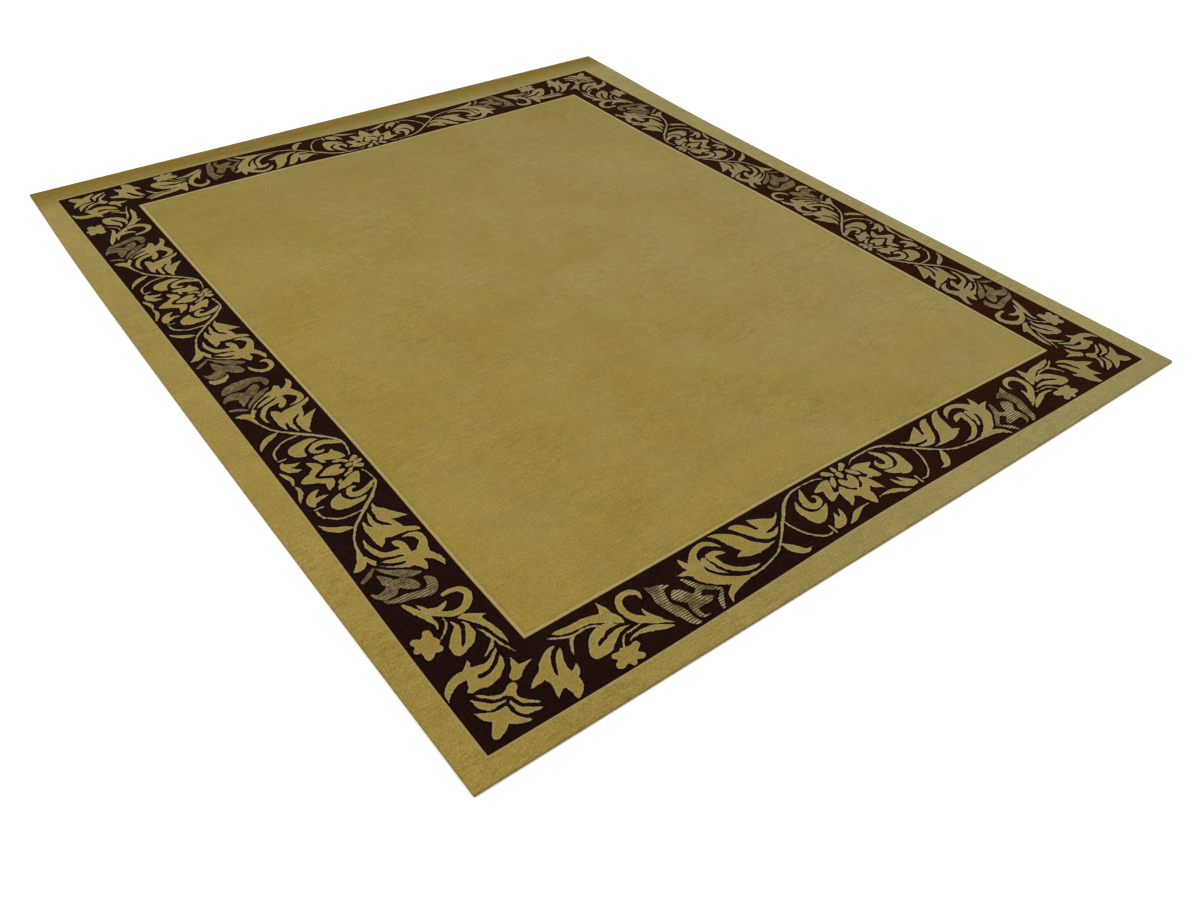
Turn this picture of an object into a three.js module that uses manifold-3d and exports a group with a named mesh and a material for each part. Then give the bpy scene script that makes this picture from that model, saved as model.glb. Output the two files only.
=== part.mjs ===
// Hand-knotted rug with a plain field, a sunken carved border and a plain outer band.
// Millimetres. X runs along the short sides, Y along the long sides, +Z up.
// The origin is the middle of the underside. The foliage in the border stands up from its sunken ground.
import * as THREE from 'three';
import { mergeVertices } from 'three/addons/utils/BufferGeometryUtils.js';
import Module from 'manifold-3d';

// Heights above the floor
const BACK_EDGE = 2;
const SIDE_TOP = 7;
const PILE_TOP = 11;
const GROUND_TOP = 9.2;

// How far each rounding reaches in from its line
const BACK_ROUNDING = 1.5;
const SHOULDER = 3;
const SHOULDER_TOP = 8;
const SHOULDER_HEIGHT = 10.2;
const CARVED_BEVEL = 5;

// Steps along each side of a loop
const SIDE_STEPS = 12;

// The foliage starts a little below the ground that it stands on
const ROOTING = 0.7;

// The band is drawn as if it were everywhere this wide
const BAND = 205;

// Corners of a slab that lie closer than this are one
const SAME_PLACE = 1e-4;

// The three lines that divide the rug, each from its corners and from how far each side wanders
// outwards (out, in mm) at a share of the way along it (at). The rug is a little out of square.
const EDGE = {
  corners: {
    nearLeft: [-1259, -1501], nearRight: [1272, -1501],
    farRight: [1271, 1505], farLeft: [-1259, 1504],
  },
  near: [{ at: 0.35, out: 2 }, { at: 0.7, out: 4 }],
  right: [{ at: 0.3, out: -14 }, { at: 0.65, out: -25 }, { at: 0.8, out: -20 }, { at: 0.93, out: -5 }],
  far: [{ at: 0.5, out: 1 }],
  left: [{ at: 0.2, out: 12 }, { at: 0.5, out: 13 }, { at: 0.75, out: 8 }],
};
const BORDER = {
  corners: {
    nearLeft: [-1189, -1443], nearRight: [1201, -1441],
    farRight: [1145, 1369], farLeft: [-1190, 1399],
  },
  near: [{ at: 0.2, out: 1 }, { at: 0.5, out: -13 }, { at: 0.8, out: -5 }],
  right: [{ at: 0.36, out: 8 }, { at: 0.65, out: -1 }],
  far: [{ at: 0.12, out: -7 }, { at: 0.3, out: -24 }, { at: 0.46, out: -20 }, { at: 0.7, out: 7 }],
  left: [{ at: 0.3, out: -6 }, { at: 0.65, out: -8 }, { at: 0.9, out: 1 }],
};
const FIELD = {
  corners: {
    nearLeft: [-961, -1237], nearRight: [993, -1243],
    farRight: [940, 1169], farLeft: [-967, 1208],
  },
  near: [{ at: 0.2, out: -6 }, { at: 0.5, out: -16 }, { at: 0.75, out: -9 }],
  right: [{ at: 0.25, out: 6 }, { at: 0.5, out: 9 }, { at: 0.8, out: -4 }],
  far: [{ at: 0.22, out: -9 }, { at: 0.35, out: -5 }, { at: 0.52, out: -14 }, { at: 0.7, out: 1 }],
  left: [{ at: 0.35, out: -1 }, { at: 0.65, out: -6 }, { at: 0.9, out: 1 }],
};

// The sides in turn, anticlockwise from above, each with the way out of the rug
const SIDES = [
  { name: 'near', from: 'nearLeft', to: 'nearRight', outward: [0, -1] },
  { name: 'right', from: 'nearRight', to: 'farRight', outward: [1, 0] },
  { name: 'far', from: 'farRight', to: 'farLeft', outward: [0, 1] },
  { name: 'left', from: 'farLeft', to: 'nearLeft', outward: [-1, 0] },
];

const corner = (line, name) => new THREE.Vector2(...line.corners[name]);

// How far a side wanders outwards at a share of the way along it: a cubic through its rows, nothing at
// the corners and beyond them, with the slope at each row that of the line between its neighbours
function wander(rows, at) {
  if (at <= 0 || at >= 1) return 0;
  const knots = [{ at: 0, out: 0 }, ...rows, { at: 1, out: 0 }];
  const slope = (index) => {
    const before = knots[Math.max(index - 1, 0)];
    const after = knots[Math.min(index + 1, knots.length - 1)];
    return (after.out - before.out) / (after.at - before.at);
  };
  const index = knots.findLastIndex((knot) => knot.at <= at);
  const span = knots[index + 1].at - knots[index].at;
  const t = (at - knots[index].at) / span;
  const bend = slope(index) * (1 - t) - slope(index + 1) * t;
  const blend = t * t * (3 - 2 * t);
  return knots[index].out * (1 - blend) + knots[index + 1].out * blend + bend * span * t * (1 - t);
}

// A place on one side of a line, at a share of the way along it
function sidePoint(line, side, at) {
  const out = new THREE.Vector2(...side.outward);
  const straight = corner(line, side.from).lerp(corner(line, side.to), at);
  return straight.addScaledVector(out, wander(line[side.name], at));
}

// The whole line as points, moved inwards by inset all round
function loop(line, inset = 0) {
  const points = [];
  SIDES.forEach((side, index) => {
    const before = SIDES[(index + SIDES.length - 1) % SIDES.length];
    for (let step = 0; step < SIDE_STEPS; step += 1) {
      const point = sidePoint(line, side, step / SIDE_STEPS);
      point.addScaledVector(new THREE.Vector2(...side.outward), -inset);
      if (step === 0) point.addScaledVector(new THREE.Vector2(...before.outward), -inset);
      points.push(point);
    }
  });
  return points;
}

// Moves every loop by the same amount, so that the edge's box is centred on the origin
function boxCentre(points) {
  return new THREE.Box2().setFromPoints(points).getCenter(new THREE.Vector2());
}

// A closed skin through loops of equal length, from the underside over the edge to the field
function skin(levels, centre) {
  const positions = [];
  const triangles = [];
  const count = levels[0].points.length;
  for (const level of levels) {
    for (const point of level.points) positions.push(point.x - centre.x, point.y - centre.y, level.z);
  }
  for (let row = 0; row < levels.length - 1; row += 1) {
    for (let i = 0; i < count; i += 1) {
      const next = (i + 1) % count;
      const low = row * count;
      const high = low + count;
      triangles.push(low + i, low + next, high + next, low + i, high + next, high + i);
    }
  }
  const top = (levels.length - 1) * count;
  for (const [a, b, c] of THREE.ShapeUtils.triangulateShape(levels[0].points, [])) triangles.push(c, b, a);
  for (const [a, b, c] of THREE.ShapeUtils.triangulateShape(levels.at(-1).points, [])) {
    triangles.push(top + a, top + b, top + c);
  }
  const geometry = new THREE.BufferGeometry();
  geometry.setAttribute('position', new THREE.Float32BufferAttribute(positions, 3));
  geometry.setIndex(triangles);
  return geometry;
}

// The foliage, drawn with brush strokes. Each row is a place on a stroke's middle line: along from the
// middle of the repeat, across from the field's edge to the outer band, and half the stroke's width.
const stroke = (...rows) => rows.map(([along, across, half]) => ({ along, across, half }));
const ON_MIDDLE = [
  stroke([0, 10, 5], [0, 48, 9]),
  stroke([0, 120, 12], [0, 142, 19], [0, 180, 0]),
];
const ROUNDEL = [
  stroke([17, 31, 6], [36, 15, 9]),
  stroke([18, 58, 6], [13, 78, 11], [2, 106, 0]),
  stroke([47, 42, 6], [70, 52, 14], [114, 53, 0]),
  stroke([66, 58, 13], [80, 84, 13], [98, 107, 0]),
  stroke([40, 86, 10], [44, 112, 14], [64, 148, 0]),
];
const CURL = [
  stroke([134, 22, 0], [155, 56, 11], [144, 90, 10], [118, 74, 6]),
  stroke([177, 50, 0], [189, 82, 10], [166, 118, 19], [112, 100, 0]),
  stroke([101, 132, 0], [126, 170, 11], [158, 172, 0]),
];
const STEM = [
  stroke([60, 22, 2.5], [140, 15, 3.5], [200, 36, 4.5], [292, 116, 4], [345, 150, 4], [420, 162, 4]),
  stroke([308, 132, 0], [289, 167, 12], [252, 182, 0]),
];
const LEAF_PAIR = [
  stroke([242, 47, 0], [285, 62, 14], [308, 46, 13], [326, 20, 0]),
  stroke([268, 86, 0], [320, 92, 10], [344, 60, 14], [384, 16, 0]),
  stroke([311, 115, 0], [366, 104, 15], [394, 66, 20], [443, 4, 0]),
];
const SCROLL = [
  stroke([438, 52, 0], [456, 26, 7], [494, 18, 9], [524, 42, 14], [536, 80, 25]),
  stroke([536, 72, 22], [516, 118, 24], [470, 152, 13], [400, 161, 4]),
  stroke([546, 74, 12], [557, 16, 0]),
  stroke([550, 77, 12], [598, 59, 0]),
  stroke([462, 160, 10], [518, 174, 8], [534, 197, 0]),
  stroke([442, 73, 0], [476, 60, 8], [478, 94, 8], [452, 134, 8], [388, 147, 0]),
];
const PALMETTE = [
  stroke([624, 71, 0], [664, 68, 16], [672, 112, 17], [656, 165, 11], [632, 198, 0]),
  stroke([597, 76, 0], [574, 113, 10], [526, 150, 0]),
  stroke([558, 162, 0], [596, 142, 16], [632, 108, 20]),
  stroke([612, 148, 9], [631, 170, 8], [605, 192, 0]),
];
const HOOK = [
  stroke([706, 71, 0], [705, 44, 7], [732, 29, 9], [761, 56, 9], [748, 104, 10], [686, 158, 0]),
  stroke([688, 167, 0], [735, 144, 9], [804, 142, 0]),
];
const SPRAY = [
  stroke([779, 92, 0], [802, 60, 14], [850, 40, 10], [941, 23, 0]),
  stroke([798, 48, 10], [798, 9, 0]),
  stroke([878, 110, 14], [856, 88, 13], [824, 76, 9], [792, 91, 0]),
  stroke([884, 136, 14], [836, 120, 11], [768, 108, 0]),
];
const BLOSSOM = [
  stroke([788, 156, 6], [830, 168, 18], [874, 154, 6]),
  stroke([800, 192, 5], [831, 174, 16], [868, 186, 5]),
];
const CORNER_LEAF = [
  stroke([940, 67, 0], [966, 106, 11], [974, 154, 19], [988, 197, 0]),
  stroke([948, 58, 0], [990, 78, 12], [1004, 112, 15], [998, 142, 12], [1024, 176, 0]),
  stroke([1010, 100, 10], [1058, 121, 0]),
];

// The corner set, drawn on one side of the corner's diagonal: in across one band, up across the other,
// both counted from the outer band
const cornerStroke = (...rows) => rows.map(([inwards, up, half]) => ({ inwards, up, half }));
const CORNER = [
  cornerStroke([118, 118, 9], [90, 104, 8], [66, 118, 7], [54, 144, 0]),
  cornerStroke([88, 92, 0], [62, 98, 9], [44, 115, 8], [37, 140, 0]),
  cornerStroke([74, 74, 15], [52, 54, 22], [36, 38, 14]),
  cornerStroke([66, 70, 16], [42, 80, 11], [25, 106, 0]),
  cornerStroke([142, 138, 11], [164, 148, 8], [190, 150, 0]),
];

const MAIN = [...CURL, ...STEM, ...LEAF_PAIR, ...SCROLL];
const TO_MIDDLE = [...ROUNDEL, ...MAIN, ...PALMETTE];
const TO_CORNER = [...TO_MIDDLE, ...HOOK, ...SPRAY, ...BLOSSOM, ...CORNER_LEAF];

// Where the field ends in the drawing, counted from the middle of the repeat
const DRAWN_END = 991;

// Each half of each repeat: the middle that it starts from, the way that it runs (1 is towards +X or +Y),
// and how far it is from there to the field's corner. Two repeats share a long side, so there the drawing
// is squeezed and its strokes are slimmer. The strokes on the middle go with the half whose way is 1.
const HALVES = [
  { side: 'near', middle: 30, way: -1, length: 991, strokes: TO_CORNER },
  { side: 'near', middle: 30, way: 1, length: 963, strokes: TO_CORNER },
  { side: 'far', middle: -19, way: 1, length: 959, strokes: TO_CORNER },
  { side: 'far', middle: -19, way: -1, length: 948, strokes: TO_CORNER },
  { side: 'left', middle: -485, way: -1, length: 752, strokes: TO_CORNER, slim: 0.84 },
  { side: 'left', middle: -485, way: 1, length: 752, strokes: TO_MIDDLE, slim: 0.84 },
  { side: 'left', middle: 515, way: 1, length: 693, strokes: TO_CORNER, slim: 0.8 },
  { side: 'left', middle: 515, way: -1, length: 752, strokes: [...ROUNDEL, ...MAIN], slim: 0.84 },
  { side: 'right', middle: -477, way: -1, length: 766, strokes: TO_CORNER, slim: 0.84 },
  { side: 'right', middle: -477, way: 1, length: 730, strokes: [...ROUNDEL, ...MAIN], slim: 0.82 },
  { side: 'right', middle: 473, way: 1, length: 696, strokes: TO_CORNER, slim: 0.8 },
  { side: 'right', middle: 473, way: -1, length: 730, strokes: TO_MIDDLE, slim: 0.82 },
];

// A place in the band: the point straight across from the field's edge at that distance along the side
function bandPoint(sideName, along, across) {
  const side = SIDES.find((entry) => entry.name === sideName);
  const axis = side.outward[0] === 0 ? 'x' : 'y';
  const onLine = (line) => {
    const start = corner(line, side.from)[axis];
    const end = corner(line, side.to)[axis];
    return sidePoint(line, side, (along - start) / (end - start));
  };
  return onLine(FIELD).lerp(onLine(BORDER), across / BAND);
}

// The outline of a stroke: along one side of its middle line and back along the other
function outline(rows) {
  const left = [];
  const right = [];
  rows.forEach((row, index) => {
    const before = rows[Math.max(index - 1, 0)].point;
    const after = rows[Math.min(index + 1, rows.length - 1)].point;
    const ahead = after.clone().sub(before).normalize();
    const sideways = new THREE.Vector2(-ahead.y, ahead.x).multiplyScalar(row.half);
    left.push(row.point.clone().add(sideways));
    if (row.half > 0) right.push(row.point.clone().sub(sideways));
  });
  return [...left, ...right.reverse()];
}

const wasm = await Module();
wasm.setup();

function toManifold(geometry) {
  geometry.deleteAttribute('normal');
  geometry.deleteAttribute('uv');
  const merged = mergeVertices(geometry, SAME_PLACE);
  const vertProperties = new Float32Array(merged.attributes.position.array);
  const triVerts = new Uint32Array(merged.index.array);
  return new wasm.Manifold(new wasm.Mesh({ numProp: 3, vertProperties, triVerts }));
}

function toGeometry(manifold) {
  const mesh = manifold.getMesh();
  const geometry = new THREE.BufferGeometry();
  geometry.setAttribute('position', new THREE.BufferAttribute(mesh.vertProperties, 3));
  geometry.setIndex(new THREE.BufferAttribute(mesh.triVerts, 1));
  return geometry;
}

// A stroke as an upright slab that stands on the ground and reaches the pile's height
function raised(rows, centre) {
  const shape = new THREE.Shape(outline(rows).map((point) => point.sub(centre)));
  const bottom = GROUND_TOP - ROOTING;
  const slab = new THREE.ExtrudeGeometry(shape, { depth: PILE_TOP - bottom, bevelEnabled: false });
  return toManifold(slab.translate(0, 0, bottom));
}

// Every stroke of one half of a repeat, put where it lies in the band
function halfStrokes({ side, middle, way, length, strokes, slim = 1 }) {
  const squeeze = length / DRAWN_END;
  const own = way > 0 ? [...ON_MIDDLE, ...strokes] : strokes;
  return own.map((rows) => rows.map(({ along, across, half }) => ({
    point: bandPoint(side, middle + way * along * squeeze, across),
    half: half * slim,
  })));
}

// The strokes of the set in one corner, drawn both ways about its diagonal
function cornerStrokes(name) {
  const from = corner(BORDER, name);
  const reach = corner(FIELD, name).sub(from).divideScalar(BAND);
  const place = (inwards, up) => new THREE.Vector2(from.x + reach.x * inwards, from.y + reach.y * up);
  return CORNER.flatMap((rows) => [
    rows.map(({ inwards, up, half }) => ({ point: place(inwards, up), half })),
    rows.map(({ inwards, up, half }) => ({ point: place(up, inwards), half })),
  ]);
}

const levels = [
  { points: loop(EDGE, BACK_ROUNDING), z: 0 },
  { points: loop(EDGE), z: BACK_EDGE },
  { points: loop(EDGE), z: SIDE_TOP },
  { points: loop(EDGE, SHOULDER), z: SHOULDER_HEIGHT },
  { points: loop(EDGE, SHOULDER_TOP), z: PILE_TOP },
  { points: loop(BORDER), z: PILE_TOP },
  { points: loop(BORDER, CARVED_BEVEL), z: GROUND_TOP },
  { points: loop(FIELD), z: GROUND_TOP },
  { points: loop(FIELD, CARVED_BEVEL), z: PILE_TOP },
];

const centre = boxCentre(levels[1].points);
const strokes = [...HALVES.flatMap(halfStrokes), ...Object.keys(FIELD.corners).flatMap(cornerStrokes)];
const foliage = strokes.map((rows) => raised(rows, centre));

const rug = new THREE.Mesh(
  toGeometry(wasm.Manifold.union([toManifold(skin(levels, centre)), ...foliage])),
  new THREE.MeshStandardMaterial({ color: 0x988a4e, roughness: 0.95, metalness: 0 }),
);
rug.name = 'rug';

const group = new THREE.Group();
group.add(rug);

export default group;
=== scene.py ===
"""Finished look of a hand-knotted rug: plain gold field, sunken dark border with scrolling foliage carved
in gold wool and silk, plain gold outer band. Drawn in millimetres, built in metres.
"""
import math

import bpy
import numpy as np
from mathutils import Matrix, Vector


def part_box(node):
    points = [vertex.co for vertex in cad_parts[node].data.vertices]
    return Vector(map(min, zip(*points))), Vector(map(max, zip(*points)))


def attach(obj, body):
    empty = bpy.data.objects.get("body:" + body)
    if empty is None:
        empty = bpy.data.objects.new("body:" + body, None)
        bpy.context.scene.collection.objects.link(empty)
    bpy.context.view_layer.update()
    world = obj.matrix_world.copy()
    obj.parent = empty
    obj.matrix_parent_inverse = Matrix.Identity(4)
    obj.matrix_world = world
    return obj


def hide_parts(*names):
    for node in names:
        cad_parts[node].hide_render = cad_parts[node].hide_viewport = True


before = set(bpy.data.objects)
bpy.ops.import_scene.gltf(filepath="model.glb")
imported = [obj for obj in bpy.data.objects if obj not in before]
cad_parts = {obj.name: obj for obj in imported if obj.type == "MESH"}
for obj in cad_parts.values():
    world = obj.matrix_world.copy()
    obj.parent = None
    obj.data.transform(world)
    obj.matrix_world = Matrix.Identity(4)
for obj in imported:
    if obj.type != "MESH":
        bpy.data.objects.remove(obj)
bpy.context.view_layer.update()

MM = 0.001
BODY = "root"
NODE = "rug"
low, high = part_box(NODE)

# Heights in mm, worked out from the solid's top
PILE_TOP = high.z / MM
CARVING = 1.8
GROUND_TOP = PILE_TOP - CARVING

# How far the shears' bevel reaches round a motif, the size of one knot, and of one loop of silk
BEVEL = 4.2
KNOT = 2.6
SILK_ROW = 7.2

# Three lines divide the rug: its edge, the outer edge of the dark border and the edge of the field.
# Each side wanders outwards by the second number at the share of its length that the first one gives.
SIDES = {
    "near": ("near_left", "near_right", (0, -1)),
    "right": ("near_right", "far_right", (1, 0)),
    "far": ("far_right", "far_left", (0, 1)),
    "left": ("far_left", "near_left", (-1, 0)),
}
EDGE = {
    "near_left": (-1259, -1501), "near_right": (1272, -1501),
    "far_right": (1271, 1505), "far_left": (-1259, 1504),
    "near": ((0.35, 2), (0.7, 4)),
    "right": ((0.3, -14), (0.65, -25), (0.8, -20), (0.93, -5)),
    "far": ((0.5, 1),),
    "left": ((0.2, 12), (0.5, 13), (0.75, 8)),
}
BORDER = {
    "near_left": (-1189, -1443), "near_right": (1201, -1441),
    "far_right": (1145, 1369), "far_left": (-1190, 1399),
    "near": ((0.2, 1), (0.5, -13), (0.8, -5)),
    "right": ((0.36, 8), (0.65, -1)),
    "far": ((0.12, -7), (0.3, -24), (0.46, -20), (0.7, 7)),
    "left": ((0.3, -6), (0.65, -8), (0.9, 1)),
}
FIELD = {
    "near_left": (-961, -1237), "near_right": (993, -1243),
    "far_right": (940, 1169), "far_left": (-967, 1208),
    "near": ((0.2, -6), (0.5, -16), (0.75, -9)),
    "right": ((0.25, 6), (0.5, 9), (0.8, -4)),
    "far": ((0.22, -9), (0.35, -5), (0.52, -14), (0.7, 1)),
    "left": ((0.35, -1), (0.65, -6), (0.9, 1)),
}


def wander(rows, at):
    """How far a side leaves its straight line: a cubic through its rows, nothing at and beyond the corners,
    with the slope at each row that of the line between its neighbours."""
    x = np.array([0.0] + [row[0] for row in rows] + [1.0])
    y = np.array([0.0] + [row[1] for row in rows] + [0.0])
    slope = np.empty_like(y)
    slope[1:-1] = (y[2:] - y[:-2]) / (x[2:] - x[:-2])
    slope[0] = (y[1] - y[0]) / (x[1] - x[0])
    slope[-1] = (y[-1] - y[-2]) / (x[-1] - x[-2])
    inside = np.clip(at, 0, 1)
    k = np.clip(np.searchsorted(x, inside) - 1, 0, len(x) - 2)
    span = x[k + 1] - x[k]
    t = (inside - x[k]) / span
    blend = t * t * (3 - 2 * t)
    bend = (slope[k] * (1 - t) - slope[k + 1] * t) * span * t * (1 - t)
    return y[k] * (1 - blend) + y[k + 1] * blend + bend


def side_points(line, side, at):
    """Places on one side of a line at shares of its length: the straight line plus its wander outwards."""
    start, end, outward = SIDES[side]
    p, q = np.array(line[start], float), np.array(line[end], float)
    at = np.asarray(at, float)
    return p + (q - p) * at[..., None] + np.array(outward, float) * wander(line[side], at)[..., None]


def outline_centre():
    """The middle of the box round the edge, which lies on the frame's own middle."""
    at = np.linspace(0, 1, 13)
    points = np.vstack([side_points(EDGE, side, at) for side in SIDES])
    return (points.min(0) + points.max(0)) / 2


CENTRE = outline_centre() - np.array([low.x + high.x, low.y + high.y]) / 2 / MM

# The foliage is drawn with brush strokes. Each is given by rows from root to tip: along from the middle of
# the repeat, across from the field's edge, and half its width, in mm. A stroke joins what it is drawn on.
# One that starts with CARVE is parted from it by a groove that opens a little after its root, and one that
# starts with OVER is parted from it all round.
CARVE, OVER = "carve", "over"

# The band is drawn as if it were everywhere this wide
BAND = 205.0
GROOVE = 8.6
SILK_GROOVE = 6.0
# Where along a stroke its groove starts to open, over what share of it, and how far the root keeps clear
ROOT_SHARE = 0.1
GROOVE_SHARE = 0.2
ROOT_CLEAR = 14.0
CURVE_STEPS = 5
FAR_AWAY = 1000.0

ROUNDEL = (
    ((0, 13, 5), (0, 24, 7)),
    ((0, 40, 9), (0, 47, 8)),
    ((17, 31, 6), (34, 17, 9)),
    ((27, 42, 5), (38, 56, 8), (48, 71, 3)),
    ((17, 60, 6), (14, 75, 12), (7, 91, 9), (0, 108, 0)),
    ((0, 78, 8), (0, 100, 5)),
    ((0, 122, 15), (0, 140, 19), (0, 158, 12), (0, 180, 0)),
    ((6, 128, 12), (24, 112, 11), (38, 96, 10)),
    ((37, 84, 7), (41, 102, 14), (48, 122, 12), (64, 148, 0)),
    ((47, 42, 5), (66, 50, 14), (88, 54, 10), (114, 53, 0)),
    ((64, 54, 13), (75, 75, 14), (84, 93, 12), (98, 107, 0)),
    ((76, 88, 11), (63, 92, 6), (50, 90, 1)),
)
CURL = (
    ((134, 22, 2), (145, 40, 7), (156, 60, 11), (157, 80, 11), (142, 92, 10), (126, 88, 9), (118, 74, 7),
     (121, 63, 4), (129, 60, 1)),
    ((177, 50, 1), (188, 76, 9), (183, 104, 13), (170, 122, 21), (150, 120, 14), (128, 111, 8),
     (112, 100, 1)),
    ((101, 132, 1), (110, 155, 7), (128, 172, 11), (146, 176, 9), (156, 172, 2)),
    ((122, 136, 1), (130, 153, 6), (142, 168, 8)),
    ((22, 163, 1.5), (50, 164, 4), (78, 172, 8), (100, 185, 6), (120, 191, 0.5)),
)
STEMS = (
    ((52, 27, 1.8), (68, 19, 2.2), (88, 15, 2.5), (140, 15, 3), (172, 21, 3.5), (200, 36, 4.5),
     (220, 53, 4.5), (244, 74, 4.5), (268, 95, 4), (292, 116, 3.5), (316, 135, 3), (340, 148, 3),
     (372, 157, 3), (420, 163, 3)),
    ((249, 79, 2.5), (247, 101, 3), (238, 133, 3), (224, 157, 3), (206, 174, 3), (190, 182, 3),
     (174, 180, 2.5)),
    ((166, 162, 3), (166, 187, 3.5)),
)
DROP = (
    ((308, 132, 1), (302, 148, 9), (291, 167, 12), (275, 183, 7), (252, 182, 0.5)),
)
LEAF_PAIR = (
    ((274, 86, 2), (296, 95, 7), (316, 93, 10), (334, 75, 13), (346, 52, 15), (358, 32, 13), (370, 20, 8),
     (384, 16, 1)),
    (CARVE, (242, 47, 1), (262, 62, 5), (285, 62, 15), (303, 51, 16), (316, 36, 9), (326, 20, 0)),
    ((284, 64, 14), (308, 69, 11), (326, 66, 7), (343, 58, 1)),
    ((311, 115, 1), (338, 115, 6), (362, 105, 15), (384, 88, 21), (396, 60, 21), (410, 34, 14),
     (424, 18, 8), (443, 4, 0)),
    ((372, 108, 14), (398, 102, 13), (414, 98, 8), (432, 101, 0)),
)
SCROLL = (
    ((438, 50, 1), (448, 34, 6), (468, 19, 8), (492, 18, 8), (514, 30, 10), (528, 48, 14), (534, 70, 22)),
    ((534, 66, 20), (536, 88, 27), (522, 112, 25), (498, 135, 21), (470, 152, 13), (440, 160, 7),
     (400, 161, 3)),
    ((543, 74, 12), (554, 48, 10), (557, 16, 0)),
    ((545, 77, 14), (568, 68, 9), (598, 59, 0)),
    ((462, 158, 12), (495, 165, 10), (518, 174, 8), (532, 190, 4), (536, 201, 0)),
    (CARVE, (504, 60, 8), (505, 84, 10), (492, 108, 9), (470, 132, 5), (444, 149, 1)),
    (CARVE, (486, 56, 8), (481, 78, 9), (477, 100, 8), (464, 122, 8), (440, 139, 7), (415, 146, 5),
     (388, 147, 0)),
    ((484, 58, 9), (470, 58, 9), (456, 63, 7), (443, 73, 1)),
)
SILK_FAN = (
    ((626, 71, 1), (643, 66, 8), (660, 68, 15), (666, 84, 16), (669, 104, 14), (667, 122, 13),
     (658, 142, 15), (653, 162, 12), (649, 180, 10), (638, 195, 5)),
    ((668, 62, 12), (674, 52, 6), (680, 38, 0)),
)
SILK_BUD = (
    ((594, 72, 1), (588, 82, 5), (580, 99, 8), (572, 114, 9), (558, 128, 7), (544, 140, 6), (531, 150, 4)),
    ((529, 151, 3), (544, 166, 6), (556, 180, 7), (564, 197, 4)),
    ((574, 120, 8), (590, 129, 10), (606, 138, 13), (616, 146, 14)),
    ((562, 159, 2), (578, 156, 11), (596, 150, 14), (614, 148, 14)),
    ((629, 105, 18), (618, 120, 16), (606, 134, 12)),
    ((618, 146, 12), (624, 162, 9), (624, 178, 7), (615, 189, 4), (601, 191, 1)),
)
HOOK = (
    ((706, 71, 0.5), (701, 52, 5), (710, 36, 8), (728, 29, 8), (748, 33, 9), (760, 50, 9), (762, 74, 9),
     (752, 98, 10), (734, 116, 10), (712, 136, 7), (686, 158, 0.5)),
    ((706, 136, 6), (716, 122, 7), (722, 102, 5), (722, 84, 0.5)),
    ((688, 167, 1), (710, 157, 7), (735, 144, 9), (762, 136, 6), (785, 136, 4), (804, 142, 1)),
    ((752, 118, 1.5), (780, 119, 2.5), (800, 120, 2.5), (812, 129, 3), (824, 147, 2)),
)
SPRAY = (
    ((779, 92, 1), (787, 76, 10), (802, 60, 15), (825, 49, 12), (850, 40, 10), (885, 38, 10), (915, 32, 8),
     (941, 23, 0.5)),
    ((800, 64, 14), (798, 36, 10), (798, 9, 0)),
    ((822, 75, 1), (842, 61, 3), (866, 56, 3), (896, 57, 3.5), (922, 48, 3.5), (940, 37, 2.5),
     (953, 28, 0.5)),
    ((894, 57, 3), (908, 68, 4.5), (920, 86, 4), (930, 106, 0.5)),
    ((884, 124, 15), (870, 104, 15), (852, 86, 14), (828, 77, 10), (808, 82, 6), (792, 91, 1)),
    (CARVE, (886, 128, 14), (862, 128, 14), (840, 118, 12), (820, 107, 9), (795, 102, 5), (768, 108, 1)),
)
BLOSSOM = (
    ((828, 170, 23), (836, 170, 23)),
    ((822, 166, 14), (797, 158, 10)),
    ((824, 176, 14), (806, 188, 10)),
    ((830, 176, 13), (833, 193, 9)),
    ((838, 174, 14), (862, 182, 11)),
    ((838, 166, 14), (858, 156, 9)),
    ((830, 162, 12), (834, 151, 7)),
)
CORNER_LEAF = (
    ((940, 67, 1), (954, 82, 8), (966, 104, 10), (974, 130, 16), (974, 155, 20), (976, 178, 15),
     (988, 200, 2)),
    ((966, 147, 12), (948, 140, 8), (937, 123, 0.5)),
    ((990, 150, 14), (1003, 142, 12), (1010, 158, 9), (1024, 176, 0.5)),
    (CARVE, (996, 148, 12), (1006, 122, 14), (1000, 94, 15), (984, 72, 10), (966, 59, 6), (948, 56, 1)),
    ((1008, 100, 12), (1034, 112, 10), (1058, 121, 0)),
    ((1003, 130, 12), (1003, 146, 12), (990, 152, 12)),
)

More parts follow.
